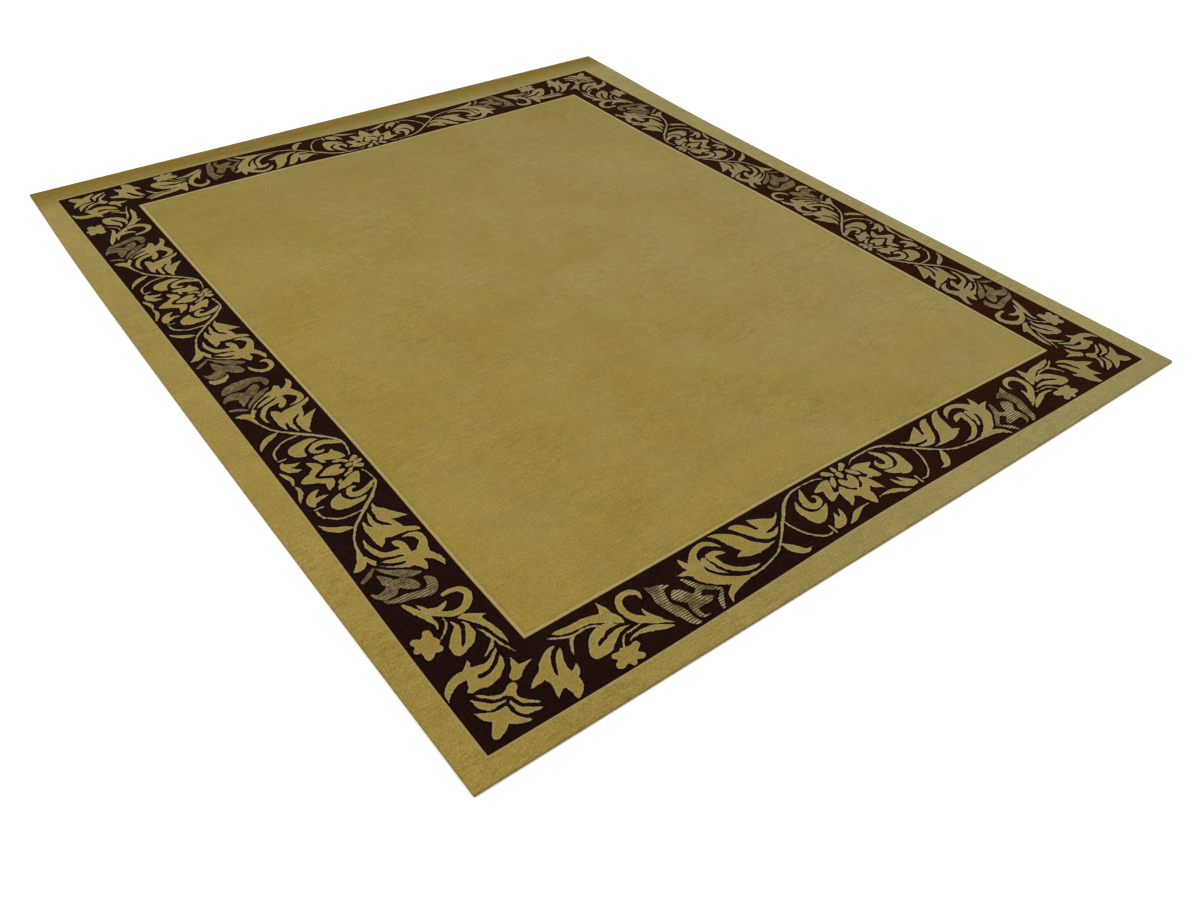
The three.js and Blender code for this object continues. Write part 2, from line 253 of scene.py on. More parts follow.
# The long sides hold two repeats each, so the same foliage is drawn closer there.
ROUNDEL_LONG = (
    ((0, 15, 7), (0, 27, 7)),
    ((0, 44, 8), (0, 50, 8)),
    ((11, 34, 5), (20, 20, 8)),
    ((16, 43, 4), (25, 56, 8), (35, 73, 2)),
    ((0, 132, 21), (0, 148, 15), (0, 169, 0)),
    ((6, 132, 14), (22, 120, 11), (30, 110, 8)),
    ((24, 106, 8), (42, 112, 11), (67, 127, 0)),
    ((40, 42, 6), (52, 52, 13), (66, 56, 9), (83, 51, 0)),
    ((50, 56, 13), (60, 74, 13), (67, 91, 10), (77, 107, 0)),
    ((60, 86, 9), (49, 91, 5), (40, 85, 1)),
    (OVER, (11, 66, 6), (10, 80, 11), (5, 98, 9), (0, 123, 0)),
    ((0, 84, 9), (0, 108, 6)),
)
CURL_LONG = (
    ((92, 24, 2), (104, 36, 7), (116, 56, 9), (117, 77, 9), (105, 91, 8), (91, 86, 7), (86, 74, 5),
     (91, 66, 1)),
    ((134, 60, 1), (141, 80, 9), (138, 103, 13), (125, 124, 21), (106, 122, 13), (90, 110, 1)),
    ((47, 144, 2), (54, 161, 8), (70, 173, 10), (88, 177, 8), (101, 174, 1)),
    ((77, 136, 2), (76, 152, 6), (82, 168, 8)),
    ((2, 184, 2), (20, 181, 5), (38, 184, 6), (56, 192, 4), (72, 197, 0.5)),
)
STEMS_LONG = (
    ((34, 27, 1.5), (52, 21, 2.5), (90, 18, 3), (112, 26, 3.5), (132, 41, 4), (150, 57, 4.5), (168, 76, 5),
     (184, 92, 4), (204, 112, 3.5), (222, 128, 3.5), (250, 144, 3), (290, 157, 3)),
    ((178, 92, 2.5), (178, 112, 3), (174, 140, 3), (160, 160, 3), (142, 176, 3), (118, 180, 2.5)),
    ((110, 160, 2.5), (110, 180, 3)),
)
DROP_LONG = (
    ((219, 133, 1), (212, 148, 8), (203, 166, 9), (186, 184, 6), (164, 196, 1)),
)
LEAF_PAIR_LONG = (
    ((170, 63, 1), (188, 66, 6), (206, 65, 15), (224, 54, 15), (240, 38, 10), (256, 13, 0)),
    ((206, 70, 11), (228, 70, 9), (248, 61, 9), (266, 53, 9), (283, 44, 3)),
    (CARVE, (279, 49, 5), (271, 68, 9), (254, 85, 8), (230, 92, 6), (208, 89, 4), (190, 86, 1)),
    ((216, 107, 1), (240, 110, 7), (262, 102, 14), (280, 83, 17), (291, 58, 13), (300, 36, 9),
     (310, 20, 7), (323, 10, 0.5)),
    ((268, 105, 12), (290, 104, 11), (304, 105, 9), (316, 110, 2)),
)
SCROLL_LONG = (
    ((316, 59, 1), (319, 42, 6), (332, 27, 9), (354, 24, 9), (374, 34, 12), (390, 46, 17), (392, 62, 20)),
    ((390, 48, 15), (404, 36, 11), (420, 26, 8), (438, 20, 6), (457, 22, 0.5)),
    ((392, 66, 18), (412, 63, 13), (428, 58, 9), (444, 60, 0.5)),
    ((394, 60, 20), (398, 84, 18), (388, 108, 15), (372, 130, 10), (350, 147, 7), (325, 155, 5)),
    ((286, 155, 3), (310, 160, 6), (330, 164, 10), (344, 172, 12), (352, 184, 7), (356, 197, 0.5)),
    (CARVE, (386, 72, 8), (379, 94, 9), (370, 114, 7), (360, 133, 1)),
    (CARVE, (364, 70, 10), (355, 88, 9), (350, 104, 8), (340, 120, 8), (320, 130, 7), (295, 135, 5),
     (266, 131, 0.5)),
    ((364, 72, 11), (344, 69, 9), (328, 76, 9), (317, 83, 2)),
)
SILK_FAN_LONG = (
    ((461, 75, 4), (475, 69, 10), (492, 72, 12), (506, 85, 13), (503, 104, 12), (498, 120, 11),
     (493, 137, 11), (491, 152, 9), (487, 167, 7), (475, 182, 2)),
)
SILK_FAN_MIDDLE = (
    ((462, 74, 4), (476, 70, 10), (493, 74, 11), (506, 88, 13), (509, 108, 15), (504, 130, 20),
     (502, 150, 20), (495, 168, 14), (483, 182, 5)),
)
SILK_BUD_LONG = (
    ((442, 74, 3), (437, 86, 8), (429, 99, 11), (417, 113, 11), (404, 127, 8), (391, 139, 6),
     (372, 151, 3)),
    ((368, 156, 3), (379, 168, 6), (388, 181, 6), (394, 192, 5)),
    ((475, 102, 10), (462, 110, 16), (448, 122, 16), (442, 130, 14)),
    ((442, 132, 15), (449, 146, 16), (459, 160, 17), (459, 174, 13), (452, 187, 6), (434, 195, 1)),
    ((393, 158, 2), (408, 152, 8), (424, 148, 14)),
)
HOOK_LONG = (
    ((532, 70, 6), (533, 50, 7), (542, 32, 8), (562, 25, 9), (582, 34, 10), (597, 52, 10), (598, 76, 9),
     (584, 100, 8), (562, 118, 8), (524, 132, 0.5)),
    ((560, 117, 8), (566, 98, 7), (562, 84, 6), (552, 70, 1)),
    ((505, 156, 2), (530, 147, 7), (558, 136, 8), (585, 127, 6), (604, 124, 4), (618, 129, 1)),
    ((590, 105, 1.5), (614, 106, 2.5), (630, 117, 3), (646, 136, 2)),
)
SPRAY_LONG = (
    ((613, 81, 1), (620, 65, 8), (634, 53, 11), (656, 43, 8), (684, 36, 7), (712, 33, 6), (740, 32, 0.5)),
    ((630, 54, 10), (636, 40, 7), (641, 23, 0.5)),
    ((662, 65, 1), (680, 56, 3), (708, 51, 3.5), (734, 45, 3), (754, 38, 2.5), (775, 31, 0.5)),
    ((708, 51, 2.5), (722, 60, 4), (736, 74, 4), (747, 94, 0.5)),
    ((698, 116, 13), (690, 98, 13), (674, 82, 12), (655, 74, 7), (640, 73, 4), (628, 79, 1)),
    (CARVE, (702, 122, 11), (684, 121, 13), (664, 111, 12), (648, 98, 9), (632, 92, 5), (614, 96, 1)),
)
# The same blossom, drawn closer and a little nearer to the field
BLOSSOM_LONG = tuple(tuple((0.9 * a - 103, b - 5, half) for a, b, half in rows) for rows in BLOSSOM)
CORNER_LEAF_LONG = (
    ((738, 60, 1), (755, 75, 6), (768, 97, 8), (766, 118, 12), (763, 142, 13), (764, 164, 12),
     (776, 186, 9), (803, 199, 1)),
    ((754, 134, 8), (742, 125, 5), (729, 121, 0.5)),
    (CARVE, (792, 140, 12), (803, 121, 13), (800, 100, 12), (786, 80, 9), (772, 69, 5), (759, 63, 1)),
    ((796, 132, 12), (802, 150, 8), (803, 161, 1)),
    ((768, 135, 12), (790, 138, 11)),
)
# What stands in the middle of a long side in place of one of its two silk fans
MIDDLE_HOOK = (
    ((462, 42, 2), (464, 29, 6), (480, 21, 8), (500, 25, 7), (511, 42, 7), (504, 62, 6), (486, 76, 5),
     (468, 80, 1)),
    ((472, 138, 3), (485, 148, 9), (492, 168, 10), (484, 184, 8), (474, 188, 3)),
)

# The corner set, drawn on one side of the corner's diagonal and mirrored in it: across one band and across
# the other, both counted from the outer edge of the border, and half the width
CORNER = (
    ((117, 117, 10), (110, 110, 11), (98, 106, 9), (84, 108, 7), (66, 119, 7), (56, 131, 5),
     (49, 143, 0.5)),
    (OVER, (90, 96, 1), (76, 94, 5), (57, 100, 8), (44, 116, 8), (34, 140, 0.5)),
    (OVER, (78, 78, 6), (66, 66, 16), (52, 52, 16), (40, 40, 13), (33, 33, 10)),
    ((66, 66, 16), (48, 76, 12), (35, 88, 8), (22, 108, 0.5)),
    ((150, 148, 10), (166, 150, 6), (186, 153, 0.5)),
    ((148, 148, 12), (137, 136, 12)),
)
# The knotter set it a little off the diagonal, away from the short side
CORNER_SHIFT = 4.0

# The drawings of half a repeat, each the groups of its gold and the groups of its silk: on a short side, and
# on a long side to the corner, to the middle with a fan, and to the middle with a hook
LONG_GOLD = (ROUNDEL_LONG, CURL_LONG, STEMS_LONG, DROP_LONG, LEAF_PAIR_LONG, SCROLL_LONG)
SHORT = (
    (ROUNDEL, CURL, STEMS, DROP, LEAF_PAIR, SCROLL, HOOK, SPRAY, BLOSSOM, CORNER_LEAF),
    (SILK_FAN + SILK_BUD,),
)
LONG = (
    (*LONG_GOLD, HOOK_LONG, SPRAY_LONG, BLOSSOM_LONG, CORNER_LEAF_LONG),
    (SILK_FAN_LONG + SILK_BUD_LONG,),
)
WITH_FAN = LONG_GOLD, (SILK_FAN_MIDDLE + SILK_BUD_LONG,)
WITH_HOOK = (*LONG_GOLD, MIDDLE_HOOK), (SILK_BUD_LONG,)

# How each half of each repeat is spaced: a place along the drawing, and where along the rug the knots put it,
# both from the middle of the repeat, where they agree. The knotter's counts differ from half to half.
NEAR_LEFT = ((1219, 1219),)
NEAR_RIGHT = (
    (250, 243), (430, 424), (560, 556), (680, 676), (760, 756), (830, 824), (950, 928), (1219, 1171),
)
FAR_LEFT = ((250, 240), (430, 412), (560, 538), (680, 652), (830, 794), (1219, 1170))
FAR_RIGHT = ((150, 151), (400, 397), (560, 554), (680, 672), (830, 816), (950, 926), (1219, 1165))
LEFT_NEAR = ((956, 956),)
LEFT_FAR = ((180, 170), (250, 236), (457, 423), (750, 692), (956, 884))
RIGHT_NEAR = (
    (90, 92), (180, 187), (350, 353), (457, 461), (530, 538), (645, 658), (752, 762), (956, 958),
)
RIGHT_FAR = ((180, 170), (250, 233), (457, 418), (530, 484), (645, 592), (752, 686), (956, 884))
FAN_HALF = (
    (90, 92), (200, 209), (300, 305), (350, 347), (390, 384), (440, 424), (520, 497), (600, 582),
)
HOOK_HALF = ((90, 88), (250, 236), (323, 301), (444, 421), (523, 503), (600, 580))
RIGHT_FAN_HALF = ((90, 90), (250, 246), (350, 335), (440, 411), (458, 433), (524, 499), (600, 567))
RIGHT_HOOK_HALF = ((90, 90), (250, 242), (323, 300), (444, 408), (523, 487), (600, 564))

# Each half: its middle on the side's own axis, the way it runs, its spacing, and its drawing
HALVES = {
    "near": ((30, -1, NEAR_LEFT, SHORT), (30, 1, NEAR_RIGHT, SHORT)),
    "far": ((-19, -1, FAR_LEFT, SHORT), (-19, 1, FAR_RIGHT, SHORT)),
    "left": (
        (-485, -1, LEFT_NEAR, LONG),
        (-485, 1, FAN_HALF, WITH_FAN),
        (515, 1, LEFT_FAR, LONG),
        (515, -1, HOOK_HALF, WITH_HOOK),
    ),
    "right": (
        (-485, -1, RIGHT_NEAR, LONG),
        (-485, 1, RIGHT_HOOK_HALF, WITH_HOOK),
        (485, 1, RIGHT_FAR, LONG),
        (485, -1, RIGHT_FAN_HALF, WITH_FAN),
    ),
}


def brush_line(rows):
    """A stroke's middle line and half width: a cubic that passes through every row, in CURVE_STEPS pieces
    from row to row, with the slope at each row that of the line between its neighbours. Widths that swing
    below nothing are held at nothing."""
    r = np.array(rows, float)
    p = np.vstack([r[:1], r, r[-1:]])
    t = np.linspace(0, 1, CURVE_STEPS, endpoint=False)[:, None, None]
    a, b, c, d = (p[k:len(p) - 3 + k][None] for k in range(4))
    square, cube = 2 * a - 5 * b + 4 * c - d, 3 * b - a - 3 * c + d
    line = 0.5 * (2 * b + (c - a) * t + square * t ** 2 + cube * t ** 3)
    line = np.vstack([line.transpose(1, 0, 2).reshape(-1, 3), r[-1:]])
    line[:, 2] = np.maximum(line[:, 2], 0)
    return line


def stroke_distance(x, y, line):
    """How far places lie outside a stroke, negative inside it: the least over its pieces of the distance to
    the middle line less the half width there. The second result is the same for the stroke with its groove,
    which opens from nothing at the root to its full width."""
    pieces = len(line) - 1
    best = np.full(x.shape, FAR_AWAY)
    grooved = best.copy()
    for i, ((ax, ay, aw), (bx, by, bw)) in enumerate(zip(line[:-1], line[1:])):
        dx, dy = bx - ax, by - ay
        t = np.clip(((x - ax) * dx + (y - ay) * dy) / (dx * dx + dy * dy + 1e-9), 0, 1)
        outside = np.hypot(x - ax - t * dx, y - ay - t * dy) - (aw + (bw - aw) * t)
        best = np.minimum(best, outside)
        open_share = np.clip(((i + t) / pieces - ROOT_SHARE) / GROOVE_SHARE, 0, 1)
        grooved = np.minimum(grooved, outside - GROOVE * open_share + ROOT_CLEAR * (1 - open_share))
    return best, grooved


def paint(distance, x, y, strokes, mirrored=False):
    """Lays strokes in turn over a field of distances: each is joined to what is there by taking the least of
    both, after what lies within its groove, if it has one, is pushed out. mirrored draws them both ways
    about x = y."""
    for stroke in strokes:
        kind = stroke[0] if stroke[0] in (CARVE, OVER) else None
        line = brush_line(stroke[1:] if kind else stroke)
        reach = line[:, 2].max() + 3 * GROOVE
        lowest, highest = line[:, :2].min(0) - reach, line[:, :2].max(0) + reach
        near = (x > lowest[0]) & (x < highest[0]) & (y > lowest[1]) & (y < highest[1])
        if mirrored:
            near |= (y > lowest[0]) & (y < highest[0]) & (x > lowest[1]) & (x < highest[1])
        if not near.any():
            continue
        outside, grooved = stroke_distance(x[near], y[near], line)
        if mirrored:
            other, other_grooved = stroke_distance(y[near], x[near], line)
            outside, grooved = np.minimum(outside, other), np.minimum(grooved, other_grooved)
        if kind == OVER:
            grooved = outside - GROOVE
        under = np.maximum(distance[near], -grooved) if kind else distance[near]
        distance[near] = np.minimum(under, outside)


def drawn(groups, x, y, mirrored=False):
    """The distance to several groups of strokes, each painted on its own."""
    distance = np.full(x.shape, FAR_AWAY)
    for strokes in groups:
        painted = np.full(x.shape, FAR_AWAY)
        paint(painted, x, y, strokes, mirrored)
        distance = np.minimum(distance, painted)
    return distance


# The sines of the slow wander: how far each goes, its lengths along X and along Y, all in mm, and its phase
WANDER = ((1.3, 71, 97, 1.0), (0.9, 33, -41, 2.1), (0.5, 17, 13, 3.7))


def unevenness(x, y, seed):
    """A slow wander of a millimetre or two, as of a hand that counts knots: a few sines of both places."""
    return sum(size * np.sin(x / a + y / b + phase * seed) for size, a, b, phase in WANDER)


def foliage(side, x, y):
    """Distances to the gold and to the silk at places in one side's band. A place is measured along the side,
    and across the band by its share between the field's edge and the border's edge at that distance along.
    The gold keeps a groove's width away from the silk."""
    start, end, outward = SIDES[side]
    axis = 0 if outward[0] == 0 else 1
    along = (x, y)[axis] + unevenness(x, y, 1.0)
    offset = (x, y)[1 - axis]
    edges = []
    for line in (FIELD, BORDER):
        p, q = line[start], line[end]
        at = (along - p[axis]) / (q[axis] - p[axis])
        edges.append(side_points(line, side, at)[..., 1 - axis])
    across = BAND * (offset - edges[0]) / (edges[1] - edges[0]) + unevenness(x, y, 4.0)
    gold = np.full(x.shape, FAR_AWAY)
    silk = gold.copy()
    for middle, way, spacing, (gold_groups, silk_groups) in HALVES[side]:
        places, knotted = np.array(((0, 0), *spacing), float).T
        u = np.interp(way * (along - middle), knotted, places)
        own = (u > 0) & (u < places[-1])
        gold[own] = np.minimum(gold[own], drawn(gold_groups, u[own], across[own]))
        silk[own] = np.minimum(silk[own], drawn(silk_groups, u[own], across[own]))
    for name in (start, end):
        outer, inner = BORDER[name], FIELD[name]
        a = BAND * (x - outer[0]) / (inner[0] - outer[0])
        b = BAND * (y - outer[1]) / (inner[1] - outer[1])
        gold = np.minimum(gold, drawn((CORNER,), a - CORNER_SHIFT, b + CORNER_SHIFT, mirrored=True))
    return np.maximum(gold, SILK_GROOVE - silk), silk


# The pile reaches through the back, so every piece of it shows its knots on the underside too.
# Cells of each pile in mm, and how many of them one cell of its back is wide
STRIP_CELL, BACK_CELLS = 2.8, 2
FIELD_CELL, FIELD_BACK_CELLS = 12.0, 4
OUTER_CELL = 7.0
# The field's closer rows, by how far in from its edge they run
FIELD_ROWS = (0, 2, 4, 6.5, 9, 11.5, 13.5, 15.5, 19, 26)
# In how many stretches each side of the border is made, and how wide a border its cells are counted for, as a
# share of BAND
SIDE_SPLITS = {"near": 1, "right": 2, "far": 1, "left": 2}
COUNTED_WIDTH = 1.08
# How much lower than the gold the silk is clipped, and where the carving starts beside the band's edges
SILK_LOWER = 0.4
EDGE_FADE = 3.0
# The field's clipped edge, how round it is, how deep, how far in and how wide the line is that the shears
# left, and from how far in the pile is trodden in full
CLIPPED_FROM, CLIPPED_WIDTH, CLIPPED_ROUND = -2, 11, 0.7
SHEARS_DEPTH, SHEARS_IN, SHEARS_WIDTH = 0.5, 13, 2
TRODDEN_FROM = 30


def ease(share):
    """Smooth rise from 0 to 1: 3 t^2 - 2 t^3."""
    t = np.clip(share, 0, 1)
    return t * t * (3 - 2 * t)


def pile_mesh(name, places, faces, smooth, second, attributes=None):
    """A mesh from places in millimetres and a list of arrays of faces, one row a face. smooth and second say
    of each array whether it is shaded smooth and whether it takes the second material."""
    mesh = bpy.data.meshes.new(name)
    mesh.vertices.add(len(places))
    mesh.vertices.foreach_set("co", ((places - np.append(CENTRE, 0)) * MM).astype(np.float32).ravel())
    sizes = np.concatenate([np.full(len(f), f.shape[1]) for f in faces])
    mesh.loops.add(int(sizes.sum()))
    mesh.loops.foreach_set("vertex_index", np.concatenate([f.ravel() for f in faces]).astype(np.int32))
    mesh.polygons.add(len(sizes))
    mesh.polygons.foreach_set("loop_start", (np.cumsum(sizes) - sizes).astype(np.int32))
    mesh.polygons.foreach_set("use_smooth", np.repeat(smooth, [len(f) for f in faces]))
    mesh.polygons.foreach_set("material_index", np.repeat(second, [len(f) for f in faces]).astype(np.int32))
    for key, values in (attributes or {}).items():
        mesh.attributes.new(key, "FLOAT", "POINT").data.foreach_set("value", values.astype(np.float32))
    mesh.update(calc_edges=True)
    mesh.validate()
    piece = bpy.data.objects.new(name, mesh)
    bpy.context.scene.collection.objects.link(piece)
    return piece


def closed_pile(name, top, stride, attributes=None):
    """A closed pile from a grid of places on its top, rows by columns. Its back is the same grid at every
    stride-th place, at z = 0, and walls join the two, each of their faces one cell of the back wide."""
    rows, columns = top.shape[:2]
    number = np.arange(rows * columns).reshape(rows, columns)
    back = top[::stride, ::stride].copy()
    back[..., 2] = 0
    back_number = rows * columns + np.arange(back[..., 0].size).reshape(back.shape[:2])

    def quads(n, turned):
        """The faces of a grid of numbers, turned over where they are seen from below."""
        corners = (n[:-1, :-1], n[:-1, 1:], n[1:, 1:], n[1:, :-1])
        return np.stack([c.ravel() for c in (corners[::-1] if turned else corners)], 1)

    def wall(above, below):
        """The faces between one edge of the top and the same edge of the back."""
        steps = np.arange(len(below) - 1)[:, None] * stride + np.arange(stride + 1)
        return np.hstack([above[steps], below[1:, None], below[:-1, None]])

    walls = (
        wall(number[:, 0], back_number[:, 0]),
        wall(number[-1], back_number[-1]),
        wall(number[::-1, -1], back_number[::-1, -1]),
        wall(number[0, ::-1], back_number[0, ::-1]),
    )
    faces = (quads(number, False), *walls, quads(back_number, True))
    if attributes:
        for key, values in attributes.items():
            attributes[key] = np.append(values.ravel(), values[::stride, ::stride].ravel())
    places = np.vstack([top.reshape(-1, 3), back.reshape(-1, 3)])
    return pile_mesh(name, places, faces, (True, *[False] * 5), (0, *[0] * 4, 1), attributes)


def whole_cells(length, cell, stride):
    """How many cells of about one size a length takes, a whole number of strides."""
    return max(1, round(length / cell / stride)) * stride


def border_strip(side, first, last, name):
    """One stretch of the dark border with its carving: across it, straight lines from the field's edge to the
    border's edge; up, the ground, and over the foliage the height of the pile, eased over the bevel."""
    length = np.ptp([BORDER[SIDES[side][0]], BORDER[SIDES[side][1]]], axis=0).max() * (last - first)
    at = np.linspace(first, last, whole_cells(length, STRIP_CELL, BACK_CELLS) + 1)
    share = np.linspace(0, 1, whole_cells(BAND * COUNTED_WIDTH, STRIP_CELL, BACK_CELLS) + 1)
    inner, outer = (side_points(line, side, at)[:, None] for line in (FIELD, BORDER))
    ground = inner + (outer - inner) * share[None, :, None]
    x, y = ground[..., 0], ground[..., 1]
    gold, silk = foliage(side, x, y)
    gold_rise = CARVING * ease(0.5 - gold / BEVEL)
    silk_rise = (CARVING - SILK_LOWER) * ease(0.5 - silk / BEVEL)
    fade = ease(share * BAND / EDGE_FADE) * ease((1 - share) * BAND / EDGE_FADE)
    top = np.dstack([x, y, GROUND_TOP + np.maximum(gold_rise, silk_rise) * fade])
    return closed_pile(name, top, BACK_CELLS, {"gold": gold, "silk": silk})


def graded(length, rows, cell, stride):
    """Distances along a length: the given ones in from both ends, and even steps between them."""
    edge = np.array(rows[:-1], float)
    count = whole_cells(length - 2 * rows[-1], cell, stride)
    count += (-(count + 2 * len(edge))) % stride
    return np.concatenate([edge, np.linspace(rows[-1], length - rows[-1], count + 1), length - edge[::-1]])


def patch(line, s, t):
    """The surface inside four sides: between near and far, plus between left and right, less what both count
    twice, which is the straight blend of the four corners."""
    near, far = side_points(line, "near", s)[None], side_points(line, "far", 1 - s)[None]
    left, right = side_points(line, "left", 1 - t)[:, None], side_points(line, "right", t)[:, None]
    a, b, c, d = (np.array(line[k], float) for k in ("near_left", "near_right", "far_right", "far_left"))
    s, t = s[None, :, None], t[:, None, None]
    corners = (a * (1 - s) + b * s) * (1 - t) + (d * (1 - s) + c * s) * t
    return near * (1 - t) + far * t + left * (1 - s) + right * s - corners


def trodden(x, y):
    """How far the pile lies below its full height: up to a fifth of a millimetre, with the unevenness."""
    return 0.06 * (1.5 + unevenness(x, y, 2.0) / 1.8)


def field_pile(name):
    """The plain field: its edge is clipped round over nine millimetres, then comes a shallow line where the
    shears ran, a bell curve in section, and inside it the pile lies level but for being trodden."""
    width = FIELD["near_right"][0] - FIELD["near_left"][0]
    length = FIELD["far_left"][1] - FIELD["near_left"][1]
    across, along = (graded(size, FIELD_ROWS, FIELD_CELL, FIELD_BACK_CELLS) for size in (width, length))
    ground = patch(FIELD, across / across[-1], along / along[-1])
    from_sides, from_ends = (np.minimum(v, v[-1] - v) for v in (across, along))
    inward = np.minimum(from_sides[None], from_ends[:, None])
    x, y = ground[..., 0], ground[..., 1]
    z = GROUND_TOP + CARVING * ease((inward - CLIPPED_FROM) / CLIPPED_WIDTH) ** CLIPPED_ROUND
    z -= SHEARS_DEPTH * np.exp(-((inward - SHEARS_IN) / SHEARS_WIDTH) ** 2)
    z -= trodden(x, y) * ease(inward / TRODDEN_FROM)
    top = np.dstack([x, y, np.minimum(z, PILE_TOP)])
    return closed_pile(name, top, FIELD_BACK_CELLS, {"inward": inward})


# Profiles of the rug's edge, each row how far in from the edge and the height: the clipped pile of the outer
# band, whose first OUTER_EDGE_TOP rows are its upper side, then the cord that the selvedge is overcast with,
# which carries the woven back
OUTER_EDGE = ((8, 11), (4, 10.6), (1.8, 9.6), (0.6, 8.2), (0.05, 6.4), (1.4, 5.2), (1.6, 0.6), (3.2, 0))
OUTER_EDGE_TOP = 5
BACK_EDGE = ((6, 6.4), (2, 6.4), (0.7, 5.9), (0.1, 4.6), (0.1, 2.4), (0.8, 0.9), (2.4, 0.25), (6, 0.25))
# How the outer band rises from the border's ground: how far out, and the share of the carving. Its level
# part is OUTER_ROWS cells wide.
INNER_EDGE = ((0, 0), (1.5, 0.5), (3, 0.8), (5, 0.95), (8, 1.0))
OUTER_ROWS = 10
# Stands for a distance from the border where nothing depends on it any more
WELL_INSIDE = 50.0


def edge_path(cell):
    """Places round the rug's edge, side after side, without a doubled corner: the edge, the border's edge at
    the same share of the side, the way in from one to the other for each millimetre square to the side,
    their distance square to the side, and the distance gone round so far."""
    edge, inner, inward, width = [], [], [], []
    for side, (start, end, outward) in SIDES.items():
        count = round(math.dist(EDGE[start], EDGE[end]) / cell)
        at = np.linspace(0, 1, count, endpoint=False)
        edge.append(side_points(EDGE, side, at))
        inner.append(side_points(BORDER, side, at))
        gap = inner[-1] - edge[-1]
        width.append(-gap @ np.array(outward, float))
        inward.append(gap / width[-1][:, None])
    edge, inner, inward, width = (np.concatenate(v) for v in (edge, inner, inward, width))
    steps = np.linalg.norm(np.roll(edge, -1, 0) - edge, axis=1)
    return edge, inner, inward, width, np.cumsum(steps) - steps


def loop_quads(rows, columns, closed):
    """Faces of a grid whose rows run round a loop, and whose columns close as well where closed is true."""
    number = np.arange(rows * columns).reshape(rows, columns)
    following = np.roll(number, -1, 0)
    quads = np.stack([number, np.roll(number, -1, 1), np.roll(following, -1, 1), following], -1)
    return quads if closed else quads[:, :-1]


def outer_band(name):
    """The plain outer band: a profile carried round the edge that rises from the border's ground, runs level
    and is clipped round at the edge, then turns in under the band, so that the loop closes both ways."""
    edge, inner, inward, width, _ = edge_path(OUTER_CELL)
    columns = [(inner - inward * out, GROUND_TOP + CARVING * up) for out, up in INNER_EDGE]
    first, last = INNER_EDGE[-1][0], OUTER_EDGE[0][0]
    for k in range(1, OUTER_ROWS):
        out = first + (width - first - last) * k / OUTER_ROWS
        columns.append((inner - inward * out[:, None], PILE_TOP))
    columns += [(edge + inward * inset, z) for inset, z in OUTER_EDGE]
    columns.append((inner, 0.0))
    grid = np.stack([np.column_stack([p, np.full(len(p), z)]) for p, z in columns], 1)
    level = np.clip((grid[..., 2] - GROUND_TOP) / CARVING, 0, 1)
    grid[..., 2] -= trodden(grid[..., 0], grid[..., 1]) * level
    quads = loop_quads(*grid.shape[:2], True)
    top = len(INNER_EDGE) + OUTER_ROWS - 1 + OUTER_EDGE_TOP - 1
    faces = quads[:, :top].reshape(-1, 4), quads[:, top:].reshape(-1, 4)
    from_border = np.full(grid.shape[:2], WELL_INSIDE)
    from_border[:, :len(INNER_EDGE)] = [out for out, _ in INNER_EDGE]
    attributes = {"inward": from_border.ravel()}
    return pile_mesh(name, grid.reshape(-1, 3), faces, (True, False), (0, 1), attributes)


def woven_back(name):
    """The cotton back with its overcast selvedge: the cord's profile carried round the edge, and one flat
    face above and one below."""
    edge, _, inward, _, travelled = edge_path(OUTER_CELL)
    rings = [np.column_stack([edge + inward * inset, np.full(len(edge), z)]) for inset, z in BACK_EDGE]
    grid = np.stack(rings, 1)
    rows, columns = grid.shape[:2]
    quads = loop_quads(rows, columns, False).reshape(-1, 4)
    above = (np.arange(rows) * columns)[None]
    below = (np.arange(rows)[::-1] * columns + columns - 1)[None]
    faces = quads, above, below
    attributes = {"round": np.repeat(travelled, columns)}
    return pile_mesh(name, grid.reshape(-1, 3), faces, (True, False, False), (0, 0, 0), attributes)


def add(tree, kind, inputs=None, **settings):
    """A node with its settings, its inputs given as values or as sockets to link."""
    made = tree.nodes.new("ShaderNode" + kind)
    for key, value in settings.items():
        setattr(made, key, value)
    for key, value in (inputs or {}).items():
        if isinstance(value, bpy.types.NodeSocket):
            tree.links.new(value, made.inputs[key])
        else:
            made.inputs[key].default_value = value
    return made


def placed(tree, shared, inputs=None):
    """The outputs of a node group placed in a tree."""
    return add(tree, "Group", inputs, node_tree=shared).outputs


def maths(tree, operation, a, b=0.0):
    """One step of arithmetic."""
    return add(tree, "Math", {0: a, 1: b}, operation=operation).outputs[0]


def plus(tree, a, b):
    """The sum of two numbers."""
    return maths(tree, "ADD", a, b)


def times(tree, a, b):
    """The product of two numbers."""
    return maths(tree, "MULTIPLY", a, b)


def between(tree, value, low_from, high_from, low_to=0.0, high_to=1.0):
    """A value carried smoothly from one range to another and held at its ends."""
    inputs = {
        "Value": value, "From Min": low_from, "From Max": high_from, "To Min": low_to, "To Max": high_to,
    }
    return add(tree, "MapRange", inputs, interpolation_type="SMOOTHSTEP").outputs[0]


def mixed(tree, share, a, b, blend="MIX"):
    """Two colours mixed or multiplied by a share."""
    return add(tree, "Mix", {0: share, 6: a, 7: b}, data_type="RGBA", blend_type=blend).outputs[2]


def scaled(tree, colour, factor):
    """A colour times a number."""
    return add(tree, "VectorMath", {0: colour, "Scale": factor}, operation="SCALE").outputs[0]


def here(tree):
    """The place on the rug, in metres."""
    return add(tree, "TexCoord").outputs["Object"]


